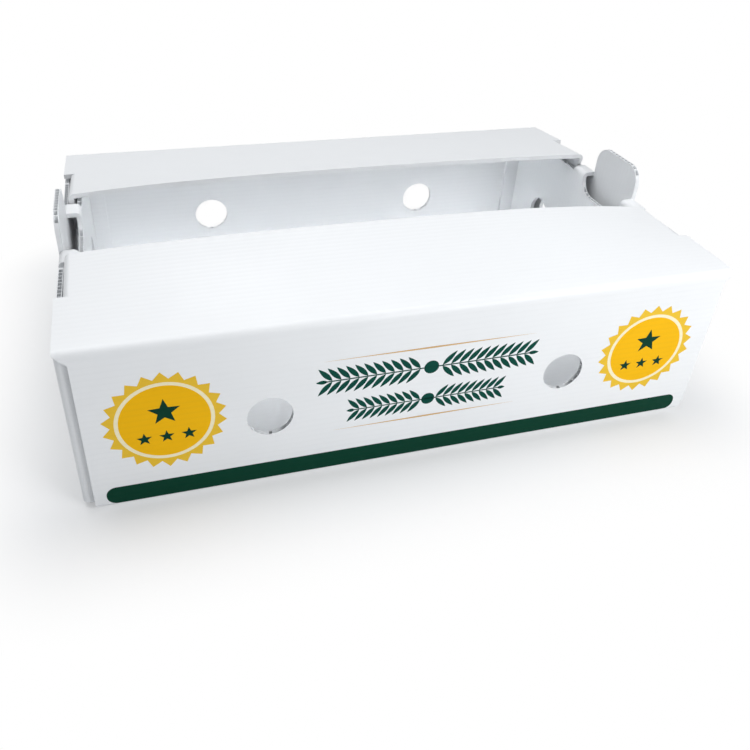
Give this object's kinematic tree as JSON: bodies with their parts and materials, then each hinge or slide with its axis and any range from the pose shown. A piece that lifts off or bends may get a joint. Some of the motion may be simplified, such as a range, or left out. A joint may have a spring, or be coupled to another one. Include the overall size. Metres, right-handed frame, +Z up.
{
  "type": "corrugated plastic produce box",
  "caption": "Folded fluted-plastic produce box with open top, two hinged top flaps, double end walls, vent holes and stacking ears.",
  "frame": {"origin": "centre of the underside, on the surface that the box stands on", "axes": "+X along the box's length to the right end, +Y from the front wall to the back wall, +Z up"},
  "size_m": [0.6, 0.4, 0.198],
  "materials": {
    "white_board": "satin white fluted polypropylene"
  },
  "bodies": {
    "tray": {"tray": "white_board"},
    "front_flap": {"front_flap": "white_board"},
    "back_flap": {"back_flap": "white_board"}
  },
  "joints": [
    {"name": "front_flap_fold", "type": "hinge", "parent": "tray", "child": "front_flap", "pos_m": [0, -0.19766, 0.16266], "axis": [1, 0, 0], "range_deg": [0, 174]},
    {"name": "back_flap_fold", "type": "hinge", "parent": "tray", "child": "back_flap", "pos_m": [0, 0.19766, 0.16266], "axis": [-1, 0, 0], "range_deg": [0, 174]}
  ]
}
